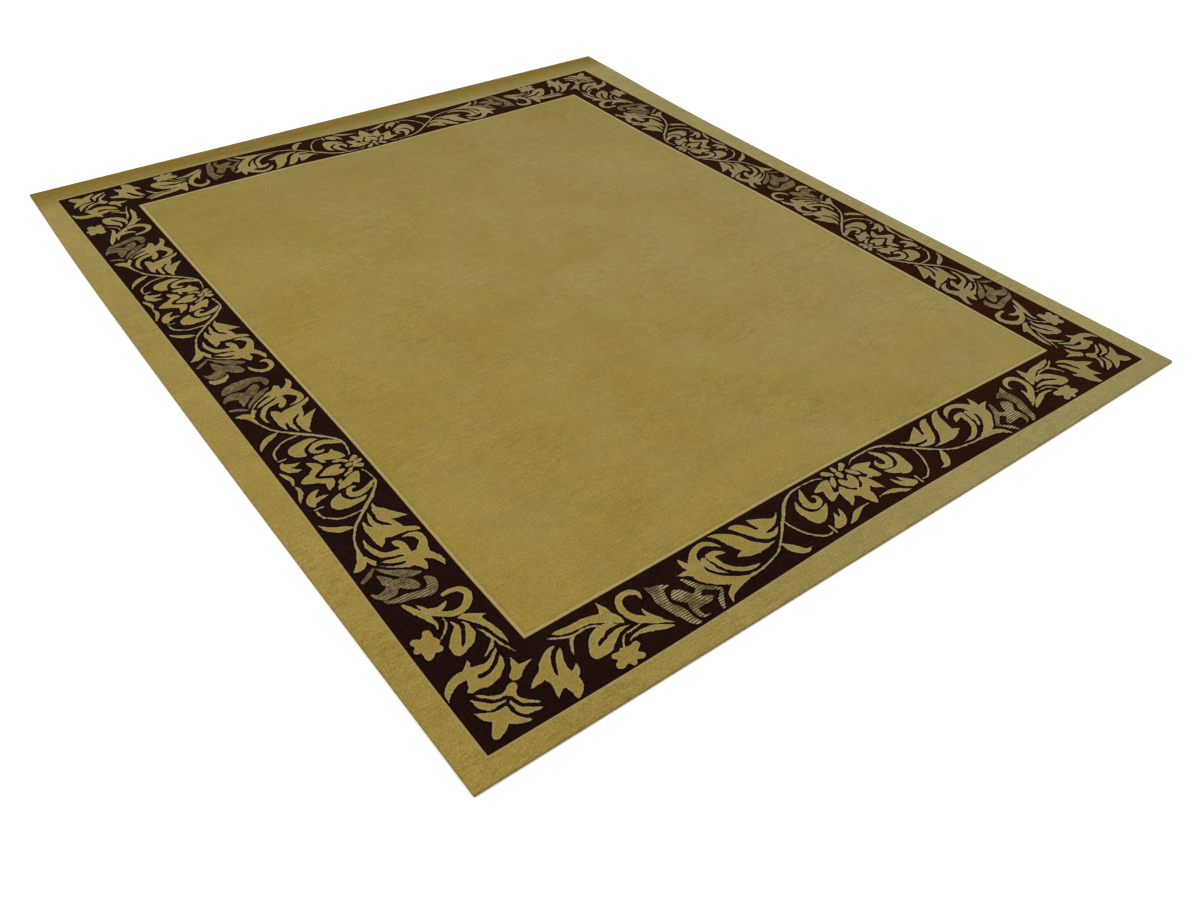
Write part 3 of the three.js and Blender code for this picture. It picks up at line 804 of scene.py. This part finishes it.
def noise(tree, scales, detail=2.0, roughness=0.5, distortion=0.0):
    """Noise over the place on the rug, with so many waves a metre: one number, or one each way."""
    inputs = {"Scale": 1.0, "Detail": detail, "Roughness": roughness, "Distortion": distortion}
    if isinstance(scales, tuple):
        stretched = add(tree, "VectorMath", {0: here(tree), 1: scales}, operation="MULTIPLY")
        inputs["Vector"] = stretched.outputs[0]
    else:
        inputs["Vector"], inputs["Scale"] = here(tree), scales
    return add(tree, "TexNoise", inputs).outputs["Fac"]


def slanted(tree, x, y):
    """x times the place along X plus y times the place along Y."""
    return add(tree, "VectorMath", {0: here(tree), 1: (x, y, 0)}, operation="DOT_PRODUCT").outputs["Value"]


def group(name, inputs, outputs):
    """A node group with named inputs and outputs, and its two end nodes."""
    tree = bpy.data.node_groups.new(name, "ShaderNodeTree")
    for key, kind, value in inputs:
        socket = tree.interface.new_socket(name=key, in_out="INPUT", socket_type="NodeSocket" + kind)
        socket.default_value = value
    for key, kind in outputs:
        tree.interface.new_socket(name=key, in_out="OUTPUT", socket_type="NodeSocket" + kind)
    return tree, tree.nodes.new("NodeGroupInput").outputs, tree.nodes.new("NodeGroupOutput").inputs


# Dyes, as linear colour, among them painted highlights for the clipped rims and the silk, and painted shade
# for the carved grooves and the silk
GOLD = (0.2095, 0.1480, 0.0300, 1)
BAND_GOLD = (0.214, 0.151, 0.0315, 1)
BAND_OLIVE = (0.209, 0.169, 0.0620, 1)
FAR_GOLD = (0.138, 0.091, 0.0105, 1)
MOTIF_GOLD = (0.202, 0.144, 0.0330, 1)
MOTIF_PALE = (0.202, 0.145, 0.0405, 1)
# Painted highlight for the clipped rims of the field, the outer band and the gold motifs
RIM_HIGHLIGHT = (0.270, 0.208, 0.094, 1)
MOTIF_RIM_HIGHLIGHT = (0.232, 0.176, 0.074, 1)
DARK = (0.0090, 0.0031, 0.0023, 1)
DARK_FAR = (0.0158, 0.0036, 0.0010, 1)
MOTIF_FAR = (0.178, 0.127, 0.0350, 1)
# Painted shade for the carved grooves next to the motifs
GROOVE_SHADE = (0.0045, 0.0018, 0.0013, 1)
# Painted shade of the silk: between its rows and where single loops lie deeper
SILK_SHADE = (0.026, 0.016, 0.006, 1)
SILK = (0.106, 0.074, 0.027, 1)
SILK_TAN = (0.102, 0.059, 0.015, 1)
# Painted highlights of the silk: at its rim, and in bright beads along its rows
SILK_RIM_HIGHLIGHT = (0.100, 0.067, 0.040, 1)
SILK_HIGHLIGHT = (0.37, 0.32, 0.155, 1)
# What the dye turns to from one side of the rug to the other, as a factor
OLIVE_TURN = (0.965, 1.07, 1.665, 1)

# How far apart the selvedge's wraps lie, in mm, and how far each surface's relief stands up, in metres
WRAP = 3.2
PILE_RELIEF, BACK_RELIEF, WRAP_RELIEF = 0.0011, 0.0008, 0.001
SHEEN, DARK_SHEEN = 0.05, 0.015

# Changes of tone in the wool, from bands of rows down to single tufts: waves a metre (along X, along Y, up,
# or the same each way), detail, and how much lighter and darker
TONES = (
    ((0.9, 14, 1), 3, 0.024),
    ((7, 190, 1), 2, 0.030),
    (3.1, 3, 0.045),
    (34, 3, 0.040),
    (190, 2, 0.16),
    (560, 2, 0.15),
)


def wool_dye_and_sheen():
    """Hand-dyed yarn: each knotted row, along X, comes from its own dye lot, so the tone changes in bands and
    fine streaks along X; over them lie soft patches, and small waves of painted sheen and shade where the
    brushed pile leans, strongest in patches; and the dye turns from ochre at the near left to olive at the
    right."""
    inputs = (("Colour", "Color", (0.5, 0.5, 0.5, 1)), ("Abrash", "Float", 1.0), ("Olive", "Float", 1.0))
    tree, given, out = group("wool_dye_and_sheen", inputs, (("Colour", "Color"),))
    # Painted sheen and shade: small waves where the brushed pile leans towards or away from the light, in
    # patches
    waves = between(tree, noise(tree, (26, 110, 1), 2, 0.5, 0.9), 0.36, 0.64, -0.075, 0.075)
    tone = times(tree, waves, between(tree, noise(tree, 4.3, 2), 0.46, 0.62, 0.2, 1.0))
    for scales, detail, amount in TONES:
        change = between(tree, noise(tree, scales, detail, 0.6), 0.28, 0.72, -amount, amount)
        tone = plus(tree, change, tone)
    tone = plus(tree, times(tree, tone, given["Abrash"]), 1.0)
    across = between(tree, slanted(tree, 1.0, 0.4), -1.8, 1.4)
    patches = between(tree, noise(tree, 3.4, 5, 0.6), 0.3, 0.7, -0.34, 0.34)
    olive = times(tree, plus(tree, across, patches), given["Olive"])
    turned = mixed(tree, olive, (1, 1, 1, 1), OLIVE_TURN)
    colour = mixed(tree, 1.0, given["Colour"], turned, "MULTIPLY")
    tree.links.new(scaled(tree, colour, tone), out["Colour"])
    return tree


def cut_pile():
    """Clipped pile: rows of knots along X and the tufts in them, pushed about by the lie of the pile, under a
    finer fibre. Puts out its height, and its roughness, which is least where the tufts' tips lie over."""
    tree, _, out = group("cut_pile", (), (("Height", "Float"), ("Roughness", "Float")))
    lie = noise(tree, 60, 2, 0.6)
    inputs = {0: lie, 1: (0.0012, 0.0022, 0), 2: here(tree)}
    pushed = add(tree, "VectorMath", inputs, operation="MULTIPLY_ADD").outputs[0]
    inputs = {"Vector": pushed, "Scale": 1000 / KNOT, "Randomness": 0.6}
    height = times(tree, add(tree, "TexVoronoi", inputs).outputs["Distance"], -0.55)
    height = plus(tree, height, times(tree, noise(tree, 1400, 2, 0.7), 0.5))
    height = plus(tree, height, times(tree, noise(tree, (14, 120, 1)), 0.9))
    tree.links.new(height, out["Height"])
    tree.links.new(between(tree, lie, 0.3, 0.7, 0.88, 1.0), out["Roughness"])
    return tree


def even_rows(tree, apart, wobble):
    """Two waves of knots or loops apart mm apart, along X and along Y: each the sine's size, which is 1 on a
    row and 0 between rows, of the place plus a wobble."""
    parts = add(tree, "SeparateXYZ", {0: here(tree)})
    waves = []
    for axis in (0, 1):
        angle = plus(tree, times(tree, parts.outputs[axis], math.pi * 1000 / apart), wobble)
        waves.append(maths(tree, "ABSOLUTE", maths(tree, "SINE", angle)))
    return waves


def knot_backs():
    """The back of the knots: rounded beads in even rows both ways, KNOT apart. Puts out their height and the
    shade between them."""
    tree, _, out = group("knot_backs", (), (("Height", "Float"), ("Shade", "Float")))
    height = 1.0
    for bead in even_rows(tree, KNOT, times(tree, noise(tree, 30, 1), 5.0)):
        height = times(tree, maths(tree, "POWER", bead, 0.6), height)
    tree.links.new(height, out["Height"])
    tree.links.new(between(tree, height, 0.1, 0.7, 0.55, 1.0), out["Shade"])
    return tree


def knotted_edge():
    """A distance in mm that is made to waver by a millimetre over a few knots, and made ragged by the single
    knots, as an edge between two colours is in a knotted pile."""
    tree, given, out = group("knotted_edge", (("Distance", "Float", 0.0),), (("Distance", "Float"),))
    waver = between(tree, noise(tree, 75, 1), 0.25, 0.75, -0.9, 0.9)
    ragged = between(tree, noise(tree, 330, 2, 0.6), 0.25, 0.75, -0.7, 0.7)
    tree.links.new(plus(tree, given["Distance"], plus(tree, waver, ragged)), out["Distance"])
    return tree


WOOL_DYE_AND_SHEEN, CUT_PILE, KNOT_BACKS, KNOTTED_EDGE = wool_dye_and_sheen(), cut_pile(), knot_backs(), knotted_edge()


def wool(tree, dye, abrash=1.0, olive=1.0):
    """A dye as it comes out in the yarn, with the painted sheen and shade of the brushed pile."""
    return placed(tree, WOOL_DYE_AND_SHEEN, {"Colour": dye, "Abrash": abrash, "Olive": olive})["Colour"]


def ragged(tree, distance):
    """A distance in mm as the knots carry it."""
    return placed(tree, KNOTTED_EDGE, {"Distance": distance})["Distance"]


def silk(tree, inside):
    """Loops of silk in even rows along X. The silk goes from grey olive to tan in patches, is speckled with
    painted shade where single loops lie deeper, and carries a painted highlight at its rim. Where the light
    falls across the rows, most of all at the near end, painted highlights show as bright beads along each
    row, and painted shade darkens the silk between the rows."""
    loops, rows = even_rows(tree, SILK_ROW, times(tree, noise(tree, 40, 1), 2.0))
    bead = times(tree, between(tree, rows, 0.7, 0.95), between(tree, loops, 0.0, 0.8, 0.4, 1.0))
    valley_shade = between(tree, rows, 0.8, 0.2)
    end = between(tree, slanted(tree, 0.0, 1.0), -0.7, -1.35, 0.2, 1.0)
    lit = times(tree, between(tree, noise(tree, 30, 2), 0.36, 0.60, 0.1, 0.9), end)
    colour = mixed(tree, between(tree, noise(tree, 11, 2), 0.48, 0.64), SILK, SILK_TAN)
    # Painted shade where single loops lie deeper
    colour = mixed(tree, between(tree, noise(tree, 80, 2), 0.38, 0.60, 0.0, 0.5), colour, SILK_SHADE)
    colour = scaled(tree, colour, between(tree, noise(tree, 150, 1), 0.34, 0.64, 0.65, 1.4))
    # Painted highlight at the silk's rim
    colour = mixed(tree, between(tree, inside, -3.8, -1.2), colour, SILK_RIM_HIGHLIGHT)
    # Painted shade between the rows, strongest at the near end
    valley_shade = times(tree, valley_shade, between(tree, end, 0.2, 1.0, 0.3, 0.8))
    colour = mixed(tree, valley_shade, colour, SILK_SHADE)
    # Painted highlights: bright beads along the rows where the light falls across them
    return mixed(tree, times(tree, bead, lit), wool(tree, colour, 1.6, 0.0), SILK_HIGHLIGHT)


def border_design():
    """The colours of the border, from how far in mm a place lies outside the gold and outside the silk: the
    clipped rims of the gold carry a painted highlight, the ground is darkened with painted shade where it is
    carved next to them, and both colours change a little away from the near left corner, the gold growing
    darker towards the right side. Puts out the mask of the silk too."""
    inputs = (("Gold", "Float", 0.0), ("Silk", "Float", 0.0))
    tree, given, out = group("border_design", inputs, (("Colour", "Color"), ("Silk", "Float")))
    gold_edge, silk_edge = ragged(tree, given["Gold"]), ragged(tree, given["Silk"])
    ground = mixed(tree, between(tree, slanted(tree, 1.0, 0.3), -1.2, 1.0), DARK, DARK_FAR)
    # Painted shade: the ground darkens towards the carved edges of the gold and the silk, where the grooves
    # lie in shade
    beside = between(tree, maths(tree, "MINIMUM", gold_edge, silk_edge), 7.0, 1.0, 0.0, 0.6)
    ground = wool(tree, mixed(tree, beside, ground, GROOVE_SHADE), 2.2, 0.0)
    mask = between(tree, silk_edge, -0.1, -1.3)
    colour = mixed(tree, mask, ground, silk(tree, silk_edge))
    gold = mixed(tree, between(tree, slanted(tree, 1.0, 1.0), -2.0, -0.5), MOTIF_GOLD, MOTIF_PALE)
    gold = mixed(tree, between(tree, slanted(tree, 1.0, 0.0), 0.75, 1.1), gold, MOTIF_FAR)
    # Painted highlight on the gold's clipped rim
    gold = wool(tree, mixed(tree, between(tree, gold_edge, -4.4, -1.2), gold, MOTIF_RIM_HIGHLIGHT), 1.0, 0.7)
    tree.links.new(mixed(tree, between(tree, gold_edge, 0.0, -1.2), colour, gold), out["Colour"])
    tree.links.new(mask, out["Silk"])
    return tree


BORDER_DESIGN = border_design()


def attribute(tree, key):
    """A number that the mesh carries."""
    return add(tree, "Attribute", attribute_name=key).outputs["Fac"]


def pile_of(tree, colour):
    """The sockets of a clipped pile of one colour."""
    pile = placed(tree, CUT_PILE)
    return {"Base Color": colour, "Roughness": pile["Roughness"], "Height": pile["Height"]}


def back_of(tree, colour):
    """The sockets of the knots' backs of one colour."""
    back = placed(tree, KNOT_BACKS)
    return {"Base Color": scaled(tree, colour, back["Shade"]), "Height": back["Height"]}


def border_of(tree):
    """The border's design, from the distances that its mesh carries."""
    return placed(tree, BORDER_DESIGN, {"Gold": attribute(tree, "gold"), "Silk": attribute(tree, "silk")})


def border_pile(tree):
    """The border's pile, and the gloss of its silk."""
    design = border_of(tree)
    sockets = pile_of(tree, design["Colour"])
    sockets["Roughness"] = plus(tree, sockets["Roughness"], times(tree, design["Silk"], -0.35))
    sockets["Coat Weight"] = times(tree, design["Silk"], 0.12)
    return sockets


def field_colour(tree):
    """The field's gold: a little browner towards the far end, with a painted highlight on its clipped edge,
    which is wider at the right and the far side, and painted shade in the shallow line that the shears left
    inside it."""
    edge = ragged(tree, attribute(tree, "inward"))
    inward = maths(tree, "SUBTRACT", edge, between(tree, slanted(tree, 1.0, 1.0), -0.6, 0.6, 0.0, 5.0))
    # Painted highlight on the clipped edge
    rim_highlight = times(tree, between(tree, edge, 0.5, 2.5), between(tree, inward, 8.0, 6.0))
    # Painted shade in the shallow line of the shears, drawn in the far end's browner gold
    line = times(tree, between(tree, inward, 10.0, 12.0), between(tree, inward, 15.0, 13.0, 0.0, 0.4))
    gold = mixed(tree, between(tree, slanted(tree, 0.0, 1.0), 0.5, 1.1, 0.0, 0.22), GOLD, FAR_GOLD)
    return mixed(tree, line, mixed(tree, rim_highlight, wool(tree, gold), RIM_HIGHLIGHT), FAR_GOLD)


def band_colour(tree):
    """The outer band's gold: it turns from ochre on the left to olive on the right, is darker and browner in
    streaks across the far end, and carries a painted highlight on its clipped inner edge."""
    gold = mixed(tree, between(tree, slanted(tree, 1.0, 0.35), -2.0, 0.3), BAND_GOLD, BAND_OLIVE)
    streaks = between(tree, noise(tree, (1.6, 55, 1)), 0.38, 0.6, 0.8, 1.0)
    far = times(tree, between(tree, slanted(tree, 0.0, 1.0), 1.33, 1.47), streaks)
    gold = wool(tree, mixed(tree, far, gold, FAR_GOLD), 1.2, 0.0)
    inward = ragged(tree, attribute(tree, "inward"))
    # Painted highlight on the clipped inner edge
    rim_highlight = times(tree, between(tree, inward, -0.5, 1.0), between(tree, inward, 6.0, 3.5, 0.0, 0.5))
    return mixed(tree, rim_highlight, gold, RIM_HIGHLIGHT)


def selvedge(tree):
    """Wraps of yarn round the selvedge cord, WRAP apart along the edge."""
    angle = times(tree, attribute(tree, "round"), math.pi / WRAP)
    wraps = maths(tree, "ABSOLUTE", maths(tree, "SINE", angle))
    shade = between(tree, wraps, 0.0, 0.5, 0.6, 1.0)
    return {"Base Color": scaled(tree, wool(tree, BAND_GOLD, 0.8), shade), "Height": wraps}


def finish(name, surface, depth, sheen=SHEEN):
    """A finish. surface is a function of the material's tree that gives the sockets for the shader by name,
    and under Height its relief, which stands up depth metres."""
    material = bpy.data.materials.new(name)
    material.use_nodes = True
    tree = material.node_tree
    shader = tree.nodes["Principled BSDF"]
    shader.inputs["Roughness"].default_value = 0.95
    shader.inputs["Coat Roughness"].default_value = 0.4
    shader.inputs["Specular IOR Level"].default_value = 0.0
    shader.inputs["Sheen Weight"].default_value = sheen
    shader.inputs["Sheen Roughness"].default_value = 0.5
    shader.inputs["Sheen Tint"].default_value = (1.0, 0.9, 0.7, 1)
    sockets = surface(tree)
    relief = add(tree, "Bump", {"Height": sockets.pop("Height"), "Strength": 1.0, "Distance": depth})
    for key, socket in {**sockets, "Normal": relief.outputs[0]}.items():
        tree.links.new(socket, shader.inputs[key])
    return material


FIELD_WOOL = finish("field_wool", lambda tree: pile_of(tree, field_colour(tree)), PILE_RELIEF)
BAND_WOOL = finish("outer_band_wool", lambda tree: pile_of(tree, band_colour(tree)), PILE_RELIEF)
BORDER_WOOL = finish("border_wool_and_silk", border_pile, PILE_RELIEF, DARK_SHEEN)
FIELD_BACK = finish("field_knot_backs", lambda tree: back_of(tree, wool(tree, GOLD)), BACK_RELIEF)
BAND_BACK = finish("outer_band_knot_backs", lambda tree: back_of(tree, wool(tree, BAND_GOLD)), BACK_RELIEF)
BORDER_BACK = finish(
    "border_knot_backs", lambda tree: back_of(tree, border_of(tree)["Colour"]), BACK_RELIEF, DARK_SHEEN)
SELVEDGE = finish("overcast_selvedge", selvedge, WRAP_RELIEF)


def laid(piece, slot, *finishes):
    """A piece with its finishes, laid on the rug's body."""
    for material in finishes:
        piece.data.materials.append(material)
    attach(piece, BODY)
    return piece


pile = [laid(field_pile("field_pile"), "gold_wool", FIELD_WOOL, FIELD_BACK)]
for side, splits in SIDE_SPLITS.items():
    for k in range(splits):
        piece = border_strip(side, k / splits, (k + 1) / splits, f"border_pile_{side}_{k + 1}")
        pile.append(laid(piece, "dark_wool", BORDER_WOOL, BORDER_BACK))
pile.append(laid(outer_band("outer_band_pile"), "gold_wool", BAND_WOOL, BAND_BACK))
back = laid(woven_back("woven_back"), "foundation", SELVEDGE)
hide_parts(NODE)

# The floor: a wide plate just under the rug, in metres
FLOOR_HALF, FLOOR_DEPTH, FLOOR_GAP = 15.0, 0.05, 0.0002


def floor_plate():
    """A closed plate whose top lies just under the rug: eight corners, six faces."""
    corner = np.array([(x, y, z) for z in (-FLOOR_DEPTH, 0.0) for y in (-1, 1) for x in (-1, 1)], float)
    corner[:, :2] *= FLOOR_HALF
    corner[:, 2] += low.z - FLOOR_GAP
    faces = ((0, 2, 3, 1), (4, 5, 7, 6), (0, 1, 5, 4), (1, 3, 7, 5), (3, 2, 6, 7), (2, 0, 4, 6))
    mesh = bpy.data.meshes.new("floor")
    mesh.from_pydata(corner.tolist(), [], faces)
    plate = bpy.data.objects.new("floor", mesh)
    bpy.context.scene.collection.objects.link(plate)
    material = bpy.data.materials.new("pale_floor")
    material.use_nodes = True
    shader = material.node_tree.nodes["Principled BSDF"]
    shader.inputs["Base Color"].default_value = (0.82, 0.82, 0.81, 1)
    shader.inputs["Roughness"].default_value = 0.9
    mesh.materials.append(material)


floor_plate()

# The camera stands off the near left corner, as in the photo, a little tilted to one side
CAMERA_AT = (-1.7993, -2.5189, 1.8752)
CAMERA_RIGHT = (0.79509, -0.60566, 0.03195)
CAMERA_UP = (0.37470, 0.53194, 0.75937)
CAMERA_VIEW = (0.47691, 0.59179, -0.64987)
LENS, SENSOR = 31.914, 36.0

# The soft boxes: where each stands in metres, how wide it is, and its power in watts
LIGHTS = {
    "key_light": ((-5.0, 1.5, 8.5), 3.5, 620.0),
    "fill_light": ((5.5, -4.0, 8.0), 6.0, 420.0),
}
SURROUND = 0.75


def camera():
    """The camera, turned by its own three axes."""
    data = bpy.data.cameras.new("camera")
    data.lens = LENS
    data.sensor_width = SENSOR
    data.clip_end = 100.0
    seen = bpy.data.objects.new("camera", data)
    turn = Matrix((CAMERA_RIGHT, CAMERA_UP, [-v for v in CAMERA_VIEW])).transposed()
    seen.matrix_world = Matrix.Translation(CAMERA_AT) @ turn.to_4x4()
    bpy.context.scene.collection.objects.link(seen)
    bpy.context.scene.camera = seen


def soft_box(name, place, size, power):
    """A square soft light at a place, turned to the middle of the rug."""
    data = bpy.data.lights.new(name, "AREA")
    data.shape = "SQUARE"
    data.size = size
    data.energy = power
    lamp = bpy.data.objects.new(name, data)
    aim = (Vector((0, 0, 0)) - Vector(place)).to_track_quat("-Z", "Y")
    lamp.matrix_world = Matrix.Translation(place) @ aim.to_matrix().to_4x4()
    bpy.context.scene.collection.objects.link(lamp)


camera()
for name, (place, size, power) in LIGHTS.items():
    soft_box(name, place, size, power)
world = bpy.data.worlds.new("studio")
world.use_nodes = True
world.node_tree.nodes["Background"].inputs["Color"].default_value = (1, 1, 1, 1)
world.node_tree.nodes["Background"].inputs["Strength"].default_value = SURROUND
bpy.context.scene.world = world
bpy.context.scene.view_settings.view_transform = "Standard"
